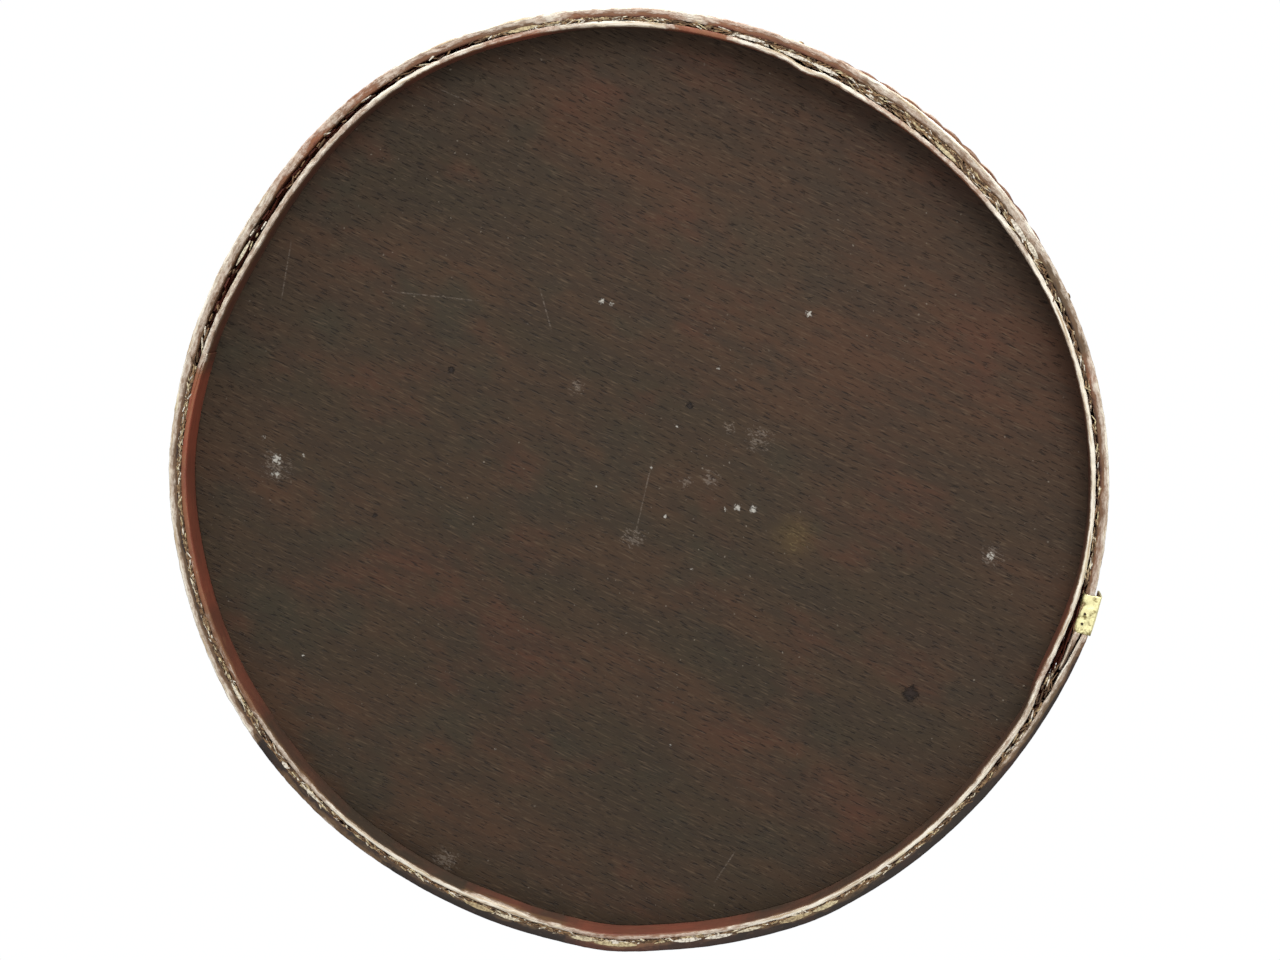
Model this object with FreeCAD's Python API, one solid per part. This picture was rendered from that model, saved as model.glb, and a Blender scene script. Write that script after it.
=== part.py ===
import FreeCAD, Part
import math
import os

# Round hat box. A wall of woven bamboo is clamped between an outer and an inner bent hoop at
# its foot and again at its mouth. A wooden board rests on the foot's inner hoop, so the box is
# hollow underneath. The mouth's inner hoop stands up as a collar, and the lid's skirt, a second
# woven wall between two hoops, slips down over it. Millimetres. +Z is up, the box stands on its
# foot, and the origin is the middle of the foot's lower edge. +X points at the hoops' joints.

# ---- driving dimensions: the box body ----
FOOT_DIAMETER = 360.0          # outside of the foot's outer hoop
BODY_HEIGHT = 150.0            # foot's lower edge to the mouth, where the lid lands
HOOP_THICKNESS = 3.6           # outer hoops of the body
INNER_HOOP_THICKNESS = 2.5     # inner hoops of the body
WALL_THICKNESS = 2.4           # woven wall
BELLY = 4.6                    # how far the wall swells out between its hoops
FOOT_HOOP_HEIGHT = 24.0
FOOT_RECESS = 14.0             # how far the board sits up inside the foot
BOARD_THICKNESS = 8.0
BOARD_CHAMFER = 0.8
MOUTH_HOOP_HEIGHT = 16.0
COLLAR_RISE = 18.0             # collar above the mouth
COLLAR_DEPTH = 32.0            # collar below the mouth
WEAVE_SETBACK = 1.0            # cut ends of the weave lie this far inside the hoop's edge

# ---- driving dimensions: the lid ----
LID_CLEARANCE = 0.6            # between collar and skirt, on the radius
LID_HEIGHT = 60.0
LID_HOOP_THICKNESS = 3.0
LID_INNER_HOOP_THICKNESS = 2.0
SKIRT_HOOP_HEIGHT = 16.0
TOP_HOOP_HEIGHT = 22.0
TOP_RECESS = 3.0               # lid board below the top hoop's edge
TOP_INNER_HOOP_HEIGHT = 12.0

# ---- driving dimensions: joints and fastenings ----
SCARF_SLOPE = 0.2              # slope of the cut where a hoop's two ends meet
SCARF_GAP = 0.2
INNER_JOINT_DEGREES = 180.0    # inner hoops meet opposite the outer hoops, which meet at 0
CLIP_THICKNESS = 0.8
CLIP_WIDTH = 13.5              # along the hoop
CLIP_OUTER_LEG = 16.0
CLIP_INNER_LEG = 11.0
TACK_DIAMETER = 1.7
TACK_LENGTH = 9.0
TACK_SPACING = 3.9
NAIL_DIAMETER = 1.3
NAIL_HEAD_DIAMETER = 2.6
NAIL_HEAD_HEIGHT = 0.9
NAIL_COUNT = 8                 # in each outer hoop
PIN_DIAMETER = 2.4
PIN_DEPTH = 14.0               # how far a pin reaches into a board
PIN_COUNT = 8                  # round each board
NAIL_GRIP = 0.6                # share of the inner hoop that a nail's point goes into
BODY_NAIL_DEGREES = 6.0        # direction of the first nail in each ring of fastenings
BODY_PIN_DEGREES = 20.0
SKIRT_NAIL_DEGREES = 0.0
TOP_NAIL_DEGREES = 20.0
LID_PIN_DEGREES = 35.0
CUT_PAST = 1.0                 # how far a cutting shape runs past what it cuts

# ---- body radii, from the outside in ----
foot_outer_r = FOOT_DIAMETER / 2.0
wall_outer_r = foot_outer_r - HOOP_THICKNESS
wall_inner_r = wall_outer_r - WALL_THICKNESS
collar_inner_r = wall_inner_r - INNER_HOOP_THICKNESS

# ---- lid radii, from the collar out ----
skirt_inner_r = wall_inner_r + LID_CLEARANCE
lid_wall_inner_r = skirt_inner_r + LID_INNER_HOOP_THICKNESS
lid_wall_outer_r = lid_wall_inner_r + WALL_THICKNESS
lid_outer_r = lid_wall_outer_r + LID_HOOP_THICKNESS

# ---- levels ----
board_bottom_z = FOOT_RECESS
mouth_z = BODY_HEIGHT
lid_top_z = mouth_z + LID_HEIGHT
lid_board_top_z = lid_top_z - TOP_RECESS
lid_board_bottom_z = lid_board_top_z - BOARD_THICKNESS
top_hoop_bottom_z = lid_top_z - TOP_HOOP_HEIGHT


def turned(shape, degrees):
    """A copy of the shape, turned about the box's own axis."""
    copy = shape.copy()
    copy.rotate(FreeCAD.Vector(0, 0, 0), FreeCAD.Vector(0, 0, 1), degrees)
    return copy


def ring(inner_r, outer_r, low_z, high_z):
    """A plain upright band."""
    base = FreeCAD.Vector(0, 0, low_z)
    height = high_z - low_z
    outside = Part.makeCylinder(outer_r, height, base)
    return outside.cut(Part.makeCylinder(inner_r, height, base))


def bent_hoop(inner_r, outer_r, low_z, high_z, joint_degrees):
    """A strip bent round into a band, with its two tapered ends meeting in a sloping joint."""
    thickness = outer_r - inner_r
    reach = thickness / SCARF_SLOPE + CUT_PAST
    slit = Part.makeBox(SCARF_GAP, 2 * reach, high_z - low_z + 2 * CUT_PAST,
                        FreeCAD.Vector(-SCARF_GAP / 2, -reach, low_z - CUT_PAST))
    slit.rotate(FreeCAD.Vector(0, 0, 0), FreeCAD.Vector(0, 0, 1), -math.degrees(math.atan(SCARF_SLOPE)))
    slit.translate(FreeCAD.Vector((inner_r + outer_r) / 2, 0, 0))
    return ring(inner_r, outer_r, low_z, high_z).cut(turned(slit, joint_degrees))


def board(radius, low_z):
    """A turned wooden disc with both edges eased."""
    disc = Part.makeCylinder(radius, BOARD_THICKNESS, FreeCAD.Vector(0, 0, low_z))
    rims = [edge for edge in disc.Edges if edge.Closed and len(edge.Vertexes) == 1]
    return disc.makeChamfer(BOARD_CHAMFER, rims)


def body_wall():
    """The woven wall as one closed band: straight where hoops clamp it, swelling in between."""
    low, high = FOOT_HOOP_HEIGHT, mouth_z - MOUTH_HOOP_HEIGHT
    middle = (low + high) / 2

    def side(radius):
        points = [FreeCAD.Vector(radius, 0, z) for z in (WEAVE_SETBACK, low, high, mouth_z)]
        crown = FreeCAD.Vector(radius + BELLY, 0, middle)
        return points, Part.Arc(points[1], crown, points[2]).toShape()

    outer, outer_belly = side(wall_outer_r)
    inner, inner_belly = side(wall_inner_r)
    edges = [Part.makeLine(outer[0], outer[1]), outer_belly, Part.makeLine(outer[2], outer[3]),
             Part.makeLine(outer[3], inner[3]),
             Part.makeLine(inner[3], inner[2]), inner_belly, Part.makeLine(inner[1], inner[0]),
             Part.makeLine(inner[0], outer[0])]
    face = Part.Face(Part.Wire(Part.__sortEdges__(edges)))
    return face.revolve(FreeCAD.Vector(0, 0, 0), FreeCAD.Vector(0, 0, 1), 360)


def radial_pegs(count, start_degrees, radius, length, diameter, z, head=False):
    """Pegs driven in from the outside of a hoop, evenly round it, with or without a nail head."""
    pegs = []
    peg = Part.makeCylinder(diameter / 2, length, FreeCAD.Vector(radius - length, 0, z),
                            FreeCAD.Vector(1, 0, 0))
    if head:
        peg = peg.fuse(Part.makeCone(NAIL_HEAD_DIAMETER / 2, NAIL_HEAD_DIAMETER / 4, NAIL_HEAD_HEIGHT,
                                     FreeCAD.Vector(radius, 0, z), FreeCAD.Vector(1, 0, 0)))
        peg = peg.removeSplitter()
    for index in range(count):
        pegs.append(turned(peg, start_degrees + index * 360.0 / count))
    return Part.makeCompound(pegs)


def strap_clip(inner_r, outer_r, edge_z, inward):
    """Sheet metal folded over a hoop's edge at its joint; inward is +1 if the hoop lies above the edge."""
    def band(r0, r1, depth):
        far_z = edge_z + inward * depth
        return ring(r0, r1, min(edge_z, far_z), max(edge_z, far_z))

    outer_leg = band(outer_r, outer_r + CLIP_THICKNESS, CLIP_OUTER_LEG)
    inner_leg = band(inner_r - CLIP_THICKNESS, inner_r, CLIP_INNER_LEG)
    web = band(inner_r - CLIP_THICKNESS, outer_r + CLIP_THICKNESS, CLIP_THICKNESS)
    window = Part.makeBox(4 * HOOP_THICKNESS, CLIP_WIDTH, 4 * CLIP_OUTER_LEG,
                          FreeCAD.Vector(outer_r - 2 * HOOP_THICKNESS, -CLIP_WIDTH / 2,
                                         edge_z - 2 * CLIP_OUTER_LEG))
    return web.fuse([outer_leg, inner_leg]).common(window).removeSplitter()


def clip_tacks(middle_r, edge_z, inward):
    """Two tacks driven flush through the clip's fold into the hoop's edge."""
    up = FreeCAD.Vector(0, 0, inward)
    tacks = [Part.makeCylinder(TACK_DIAMETER / 2, TACK_LENGTH, FreeCAD.Vector(middle_r, y, edge_z), up)
             for y in (0.0, TACK_SPACING)]
    return Part.makeCompound(tacks)


def build_body():
    """Every piece that stands still when the lid is lifted."""
    nail_reach = HOOP_THICKNESS + WALL_THICKNESS + NAIL_GRIP * INNER_HOOP_THICKNESS
    pin_reach = HOOP_THICKNESS + WALL_THICKNESS + PIN_DEPTH
    foot_nails = radial_pegs(NAIL_COUNT, BODY_NAIL_DEGREES, foot_outer_r, nail_reach, NAIL_DIAMETER,
                             FOOT_RECESS / 2, head=True)
    mouth_nails = radial_pegs(NAIL_COUNT, BODY_NAIL_DEGREES, foot_outer_r, nail_reach, NAIL_DIAMETER,
                              mouth_z - MOUTH_HOOP_HEIGHT / 2, head=True)
    pins = radial_pegs(PIN_COUNT, BODY_PIN_DEGREES, foot_outer_r, pin_reach, PIN_DIAMETER,
                       board_bottom_z + BOARD_THICKNESS / 2)
    clip = strap_clip(wall_outer_r, foot_outer_r, 0.0, +1)
    tacks = clip_tacks((wall_outer_r + foot_outer_r) / 2, 0.0, +1)
    clip = clip.cut(tacks)
    return {
        "bottom_board": board(wall_inner_r, board_bottom_z).cut(pins),
        "foot_inner_hoop": bent_hoop(collar_inner_r, wall_inner_r, 0.0, board_bottom_z,
                                     INNER_JOINT_DEGREES).cut(foot_nails),
        "foot_outer_hoop": bent_hoop(wall_outer_r, foot_outer_r, 0.0, FOOT_HOOP_HEIGHT, 0.0)
        .cut(Part.makeCompound([foot_nails, pins, clip, tacks])),
        "foot_hoop_clip": clip,
        "foot_clip_tacks": tacks,
        "foot_hoop_nails": foot_nails,
        "bottom_board_pins": pins,
        "body_weave": body_wall().cut(Part.makeCompound([foot_nails, mouth_nails, pins, clip])),
        "mouth_outer_hoop": bent_hoop(wall_outer_r, foot_outer_r, mouth_z - MOUTH_HOOP_HEIGHT, mouth_z,
                                      0.0).cut(mouth_nails),
        "mouth_collar": bent_hoop(collar_inner_r, wall_inner_r, mouth_z - COLLAR_DEPTH,
                                  mouth_z + COLLAR_RISE, INNER_JOINT_DEGREES).cut(mouth_nails),
        "mouth_hoop_nails": mouth_nails,
    }


def build_lid():
    """Every piece that lifts off."""
    through = LID_HOOP_THICKNESS + WALL_THICKNESS
    nail_reach = through + NAIL_GRIP * LID_INNER_HOOP_THICKNESS
    skirt_nails = radial_pegs(NAIL_COUNT, SKIRT_NAIL_DEGREES, lid_outer_r, nail_reach, NAIL_DIAMETER,
                              mouth_z + SKIRT_HOOP_HEIGHT / 2, head=True)
    top_nails = radial_pegs(NAIL_COUNT, TOP_NAIL_DEGREES, lid_outer_r, nail_reach, NAIL_DIAMETER,
                            (top_hoop_bottom_z + lid_board_bottom_z) / 2, head=True)
    pins = radial_pegs(PIN_COUNT, LID_PIN_DEGREES, lid_outer_r, through + PIN_DEPTH, PIN_DIAMETER,
                       lid_board_bottom_z + BOARD_THICKNESS / 2)
    clip = strap_clip(lid_wall_outer_r, lid_outer_r, lid_top_z, -1)
    tacks = clip_tacks((lid_wall_outer_r + lid_outer_r) / 2, lid_top_z, -1)
    clip = clip.cut(tacks)
    wall = ring(lid_wall_inner_r, lid_wall_outer_r, mouth_z, lid_top_z - WEAVE_SETBACK)
    return {
        "lid_board": board(lid_wall_inner_r, lid_board_bottom_z).cut(pins),
        "lid_top_inner_hoop": bent_hoop(skirt_inner_r, lid_wall_inner_r,
                                        lid_board_bottom_z - TOP_INNER_HOOP_HEIGHT, lid_board_bottom_z,
                                        INNER_JOINT_DEGREES).cut(top_nails),
        "lid_top_outer_hoop": bent_hoop(lid_wall_outer_r, lid_outer_r, top_hoop_bottom_z, lid_top_z, 0.0)
        .cut(Part.makeCompound([top_nails, pins, clip, tacks])),
        "lid_hoop_clip": clip,
        "lid_clip_tacks": tacks,
        "lid_top_hoop_nails": top_nails,
        "lid_board_pins": pins,
        "lid_weave": wall.cut(Part.makeCompound([skirt_nails, top_nails, pins, clip])),
        "lid_skirt_outer_hoop": bent_hoop(lid_wall_outer_r, lid_outer_r, mouth_z,
                                          mouth_z + SKIRT_HOOP_HEIGHT, 0.0).cut(skirt_nails),
        "lid_skirt_inner_hoop": bent_hoop(skirt_inner_r, lid_wall_inner_r, mouth_z,
                                          mouth_z + SKIRT_HOOP_HEIGHT, INNER_JOINT_DEGREES).cut(skirt_nails),
        "lid_skirt_nails": skirt_nails,
    }


os.makedirs("parts", exist_ok=True)
for name, shape in {**build_body(), **build_lid()}.items():
    shape.exportStep(f"parts/{name}.step")
    box = shape.BoundBox
    print(f"{name}: {len(shape.Solids)} solids, valid {shape.isValid()}, "
          f"x {box.XMin:.1f}..{box.XMax:.1f}, z {box.ZMin:.1f}..{box.ZMax:.1f}, "
          f"{shape.Volume / 1000:.2f} cm3")
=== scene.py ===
# %% [markdown]
# # A round hat box in woven bamboo
#
# The box is basket work: a wall of upright stakes and woven strips, clamped between an outer and an
# inner bent hoop at the foot and at the mouth, with a wooden board set up inside the foot. A lid
# made the same way slips over a collar. Everything was lacquered red-brown over a chalky ground,
# and the lacquer has chipped wherever the box was set down or knocked.
#
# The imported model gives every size. This lesson dresses it: first the frame is loaded and measured,
# then each piece is modelled with bmesh, then each finish is mixed, and last the box is lit.

# %% Load the frame
import math
import random

import bmesh
import bpy
from mathutils import Matrix, Vector, noise


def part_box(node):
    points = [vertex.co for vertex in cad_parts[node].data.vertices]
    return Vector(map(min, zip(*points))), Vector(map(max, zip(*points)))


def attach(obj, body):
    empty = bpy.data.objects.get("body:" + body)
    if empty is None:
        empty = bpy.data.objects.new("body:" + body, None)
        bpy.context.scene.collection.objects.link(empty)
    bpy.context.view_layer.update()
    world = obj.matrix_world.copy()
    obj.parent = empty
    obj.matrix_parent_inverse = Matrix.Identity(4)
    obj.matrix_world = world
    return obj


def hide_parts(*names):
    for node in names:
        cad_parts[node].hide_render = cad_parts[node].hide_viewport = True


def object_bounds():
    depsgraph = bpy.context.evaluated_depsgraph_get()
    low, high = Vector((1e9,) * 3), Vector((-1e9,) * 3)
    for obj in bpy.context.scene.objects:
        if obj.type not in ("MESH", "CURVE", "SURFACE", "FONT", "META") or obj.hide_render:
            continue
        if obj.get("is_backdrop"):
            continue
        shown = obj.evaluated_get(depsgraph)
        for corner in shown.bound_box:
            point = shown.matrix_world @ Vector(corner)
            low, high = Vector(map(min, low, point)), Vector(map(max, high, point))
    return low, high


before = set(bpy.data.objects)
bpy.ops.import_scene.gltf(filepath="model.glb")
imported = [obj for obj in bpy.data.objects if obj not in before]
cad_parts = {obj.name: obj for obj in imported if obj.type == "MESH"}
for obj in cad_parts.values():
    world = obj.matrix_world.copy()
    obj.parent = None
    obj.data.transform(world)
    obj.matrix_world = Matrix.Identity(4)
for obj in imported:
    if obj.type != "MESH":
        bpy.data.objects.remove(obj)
cad_low, cad_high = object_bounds()
noise.seed_set(7)              # so that the jitter on the edges falls the same at every run
MM = 0.001
TURN = 2 * math.pi

# %% [markdown]
# A basket maker works from a few radii and levels, so those are read off the frame once and named.
# Typing them in again would let the looks drift away from the construction, so only what a box
# cannot show, such as how thick an inner hoop is, is written here.

# %% Read the radii and levels
def outer_radius(node):
    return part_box(node)[1].y


def levels(node):
    low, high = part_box(node)
    return low.z, high.z


wall_gap = outer_radius("lid_weave") - outer_radius("lid_board")
body_inner_r = outer_radius("mouth_collar")
body_outer_r = body_inner_r + wall_gap
foot_r = outer_radius("foot_outer_hoop")
lid_inner_r = outer_radius("lid_board")
lid_outer_r = lid_inner_r + wall_gap
lid_r = outer_radius("lid_top_outer_hoop")
belly = outer_radius("body_weave") - body_outer_r
foot_top_z = levels("foot_outer_hoop")[1]
mouth_hoop_z, mouth_z = levels("mouth_outer_hoop")
lid_top_z = levels("lid_top_outer_hoop")[1]
INNER_STRIP = 2.1 * MM
print(f"foot {foot_r:.4f}, wall {body_inner_r:.4f} to {body_outer_r:.4f}")
print(f"belly {belly:.4f}, mouth {mouth_z:.3f}")

# %% [markdown]
# A hoop bent by hand is never quite round: this box is a little oval, and its wall is fuller on one
# side. The foot's inner hoop grips the weave tightly in most places, but has worked loose and sprung
# inwards at several others. Rather than bending every piece on its own, small functions of direction
# say how far the box is out of round, how full the wall is and how far the inner hoop has sprung,
# and every piece is passed through them, so the pieces still fit each other.

# %% Say how far the box is out of round
OVAL = ((2, 0.8 * MM, 49.0), (3, 0.34 * MM, -20.0), (4, 0.6 * MM, -30.0))
LUMPS = ((-162, -1.3 * MM, 11.0), (-134, 1.2 * MM, 11.0), (166, 0.8 * MM, 8.0), (78, 1.1 * MM, 5.0),
         (52, 0.6 * MM, 5.0), (30, -0.8 * MM, 13.0), (103, -0.7 * MM, 12.0))
SPRINGS = ((-73, 2.2 * MM, 30.0, 48.0), (-82, 2.8 * MM, 6.0, 6.0), (-163, 2.2 * MM, 24.0, 40.0),
           (132, 0.8 * MM, 18.0, 18.0), (93, 0.6 * MM, 8.0, 8.0), (18, 0.7 * MM, 10.0, 14.0),
           (9, 2.4 * MM, 17.0, 8.0))
TIGHT_GAP = 1.2 * MM           # room for the weave where the foot's hoops hold it tight
FULLER = (-63.0, 1.9 * MM, 26.0)


def apart(angle, degrees):
    """From a direction in degrees round to an angle in radians, the short way, in degrees."""
    return (math.degrees(angle) - degrees + 180.0) % 360.0 - 180.0


def point_at(angle, radius, z):
    """The point in a direction, at a distance from the box's axis and a height."""
    return Vector((radius * math.cos(angle), radius * math.sin(angle), z))


def out_of_round(angle):
    """How far the box stands out, or in, in one direction."""
    oval = sum(size * math.cos(lobes * (angle - math.radians(peak))) for lobes, size, peak in OVAL)
    return oval + sum(size * math.exp(-(apart(angle, peak) / reach) ** 2) for peak, size, reach in LUMPS)


def sprung(angle):
    """How far the foot's inner hoop has come inwards. Each spring: peak, depth, reach below and above it."""
    most = 0.0
    for peak, depth, below, above in SPRINGS:
        away = apart(angle, peak)
        most = max(most, depth * math.exp(-(away / (0.6 * (above if away > 0 else below))) ** 2))
    return most


def fuller(angle):
    """Extra fullness of the wall's belly on one side."""
    peak, depth, reach = FULLER
    return depth * math.exp(-(apart(angle, peak) / reach) ** 2)


print("out of round", [round(out_of_round(math.radians(a)) / MM, 2) for a in range(0, 360, 60)])

# %% [markdown]
# The foot has been set down and dragged for a century, and no two stretches of its edges have worn
# alike. So wear is told as stretches: going round from -180 degrees, each entry gives where the
# stretch ends, the wear at the hoop's inner side and at its outer side, and how red the lacquer
# is. Wear of 0.2 is whole lacquer, 0.5 rubbed, 0.7 down to the chalky ground, and 1 bare bamboo.
# On the foot's outer hoop the stretches from about 4 to 131 degrees also hold painted shade: there
# the lacquer is left whole and dark brown to stand in for the shade on that side.

# %% Tell how each stretch has worn, and where shade is painted
# Painted shade: from about 4 to 131 degrees the outer side stays whole, dark lacquer where that side of the
# foot lies in shade.
OUTER_WEAR_AND_SHADE = (
    (-155, 0.58, 0.92, 0.20), (-152, 0.40, 0.78, 0.60), (-149, 0.62, 0.80, 0.40), (-145, 0.40, 0.72, 0.70),
    (-142, 0.66, 0.80, 0.20), (-136, 0.40, 0.66, 0.70), (-133, 0.66, 0.80, 0.30), (-122, 0.34, 0.90, 0.40),
    (-116, 0.36, 0.94, 0.10), (-113, 0.76, 0.86, 0.30), (-99, 0.32, 0.90, 0.60), (-95, 0.72, 0.80, 0.20),
    (-87, 0.30, 0.78, 0.60), (-76, 0.36, 0.76, 0.50), (-62, 0.48, 0.98, 0.20), (-52, 0.42, 0.96, 0.20),
    (-45, 0.60, 0.90, 0.20), (-31, 0.32, 0.74, 0.10), (-27, 0.34, 0.94, 0.50), (-16, 0.32, 0.92, 0.20),
    (-3, 0.42, 0.86, 0.30), (4, 0.70, 0.80, 0.20), (10, 0.95, 0.10, 0.10), (22, 0.80, 0.06, 0.00),
    (42, 0.36, 0.04, 0.00), (57, 0.52, 0.06, 0.00), (72, 0.42, 0.06, 0.10), (82, 0.56, 0.22, 0.40),
    (107, 0.40, 0.08, 0.00), (126, 0.22, 0.58, 0.05), (131, 0.20, 0.14, 0.00), (180, 0.26, 1.00, 0.10))
INNER_STRETCHES = (
    (-138, 0.68, 0.78, 0.30), (-133, 0.66, 0.92, 0.30), (-122, 0.44, 0.84, 0.50), (-115, 0.34, 0.62, 0.90),
    (-110, 0.70, 0.80, 0.20), (-100, 0.80, 0.96, 0.30), (-92, 0.36, 0.44, 0.70), (-75, 0.54, 0.88, 0.60),
    (-54, 0.38, 0.78, 0.60), (-44, 0.60, 0.84, 0.20), (-2, 0.46, 0.96, 0.20), (7, 0.42, 0.92, 0.40),
    (11, 0.56, 0.78, 0.40), (25, 0.70, 0.82, 0.10), (60, 0.34, 0.98, 0.10), (68, 0.32, 0.78, 0.40),
    (83, 0.28, 0.66, 0.50), (89, 0.60, 0.80, 0.10), (97, 0.92, 0.96, 0.30), (118, 0.34, 0.98, 0.00),
    (133, 0.44, 0.70, 0.10), (149, 0.40, 0.56, 0.35), (168, 0.30, 0.46, 0.75), (180, 0.22, 0.40, 1.00))
CRUMB_STRETCHES = (
    (-172, 0.16), (-122, 0.05), (-92, 0.60), (-75, 0.85), (-44, 1.00), (-3, 0.35), (8, 0.02), (25, 0.50),
    (43, 0.80), (98, 1.00), (120, 0.60), (180, 1.00))
BLEND_STEPS = (-1.2, -0.4, 0.4, 1.2)     # degrees either side that are averaged


def stretch_at(stretches, angle, spread=1.0):
    """What the stretches say at one angle, averaged over a few degrees, times the spread."""
    ragged = 0.8 * noise.noise(point_at(angle, 40, 0.5))
    told = []
    for step in BLEND_STEPS:
        degrees = apart(angle, -(ragged + step) * spread)
        told.append(next(values for end, *values in stretches if degrees <= end))
    return [sum(values) / len(told) for values in zip(*told)]


print("at the joint the outer hoop has worn", stretch_at(OUTER_WEAR_AND_SHADE, 0.0))

# %% [markdown]
# Every long thin piece here starts life as a straight strip, as on the real box: hoops are split
# from bamboo, planed and bent. So a helper planes a straight strip along X, using a rounded section
# extruded along its length, and remembers where each point was on the strip. That memory is what
# the finishes follow later: grain runs along the strip.
# Cutting a long strip in two rounds, first coarse and then fine, is far quicker than in one.

# %% Plane a straight strip
def straight_strip(length, width, thickness, steps, rounding, across=1, segments=2):
    """A strip along X, its thickness along Y and its width along Z, open at both ends."""
    bm = bmesh.new()
    bmesh.ops.create_grid(bm, x_segments=1, y_segments=1, size=0.5)
    bmesh.ops.scale(bm, verts=bm.verts[:], vec=(thickness, width, 1))
    bmesh.ops.translate(bm, verts=bm.verts[:], vec=(thickness / 2, width / 2, 0))
    if rounding:
        bmesh.ops.bevel(bm, geom=bm.verts[:], offset=rounding, segments=segments, profile=0.5,
                        affect="VERTICES", material=-1)
    bmesh.ops.delete(bm, geom=bm.faces[:], context="FACES_ONLY")
    sides = [e for e in bm.edges if e.calc_length() > 0.5 * width]
    if across > 1:
        bmesh.ops.subdivide_edges(bm, edges=sides, cuts=across - 1)
    stand = Matrix(((0, 0, 1, 0), (1, 0, 0, 0), (0, 1, 0, 0), (0, 0, 0, 1)))
    bmesh.ops.transform(bm, matrix=stand, verts=bm.verts[:])
    made = bmesh.ops.extrude_edge_only(bm, edges=bm.edges[:])
    far = [v for v in made["geom"] if isinstance(v, bmesh.types.BMVert)]
    bmesh.ops.translate(bm, verts=far, vec=(length, 0, 0))
    coarse = max(1, round(math.sqrt(steps)))
    for pieces, cuts in ((1, coarse), (coarse, math.ceil(steps / coarse))):
        lengthwise = [e for e in bm.edges if abs(e.verts[0].co.x - e.verts[1].co.x) > 0.5 * length / pieces]
        if cuts > 1:
            bmesh.ops.subdivide_edges(bm, edges=lengthwise, cuts=cuts - 1)
    remember(bm)
    return bm


def remember(bm):
    """Keeps each point's place on the straight strip, for the grain to follow."""
    layer = bm.verts.layers.float_vector.new("strip")
    for vert in bm.verts:
        vert[layer] = vert.co


def wear_layers(bm):
    """Room on each point for its wear and its tone, which the lacquer reads."""
    return bm.verts.layers.float.new("edge"), bm.verts.layers.float.new("tone")


def cap_ends(bm):
    """Closes the open ends and turns every face outwards."""
    bmesh.ops.holes_fill(bm, edges=[e for e in bm.edges if e.is_boundary], sides=0)
    bmesh.ops.recalc_face_normals(bm, faces=bm.faces[:])


# %% [markdown]
# A piece is finished the same way each time: its mesh becomes an object at the origin, takes its
# finish, is attached to the CAD body that carries it, and the plain CAD nodes that it stands for are
# hidden. One helper does all four, so none is forgotten.

# %% Finish a piece
finishes = {}


def placed(name, data):
    """A new object in the scene, at the origin."""
    made = bpy.data.objects.new(name, data)
    bpy.context.scene.collection.objects.link(made)
    return made


def as_mesh(bm, name):
    """The bmesh as a mesh; the bmesh itself is put away."""
    mesh = bpy.data.meshes.new(name)
    bm.to_mesh(mesh)
    bm.free()
    return mesh


def add_copy(whole, mesh):
    """Adds a copy of a mesh to a bmesh and gives back the points that it brought."""
    start = len(whole.verts)
    whole.from_mesh(mesh)
    whole.verts.ensure_lookup_table()
    return whole.verts[start:]


def finished(bm, name, finish, body, nodes, smooth=True):
    """Makes the finished piece and says what it is."""
    for face in bm.faces:
        face.smooth = smooth
    mesh = as_mesh(bm, name)
    piece = placed(name, mesh)
    mesh.materials.append(finishes[finish])
    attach(piece, body)
    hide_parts(*nodes)
    print(f"{name}: {sum(len(p.vertices) - 2 for p in mesh.polygons)} triangles on {body}")
    return piece


# %% [markdown]
# ## Mixing the finishes
#
# A finish is a graph of shader nodes. The small helper below makes a node, sets its inputs and
# plugs in whatever is given as another node's output, which keeps each recipe readable.

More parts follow.
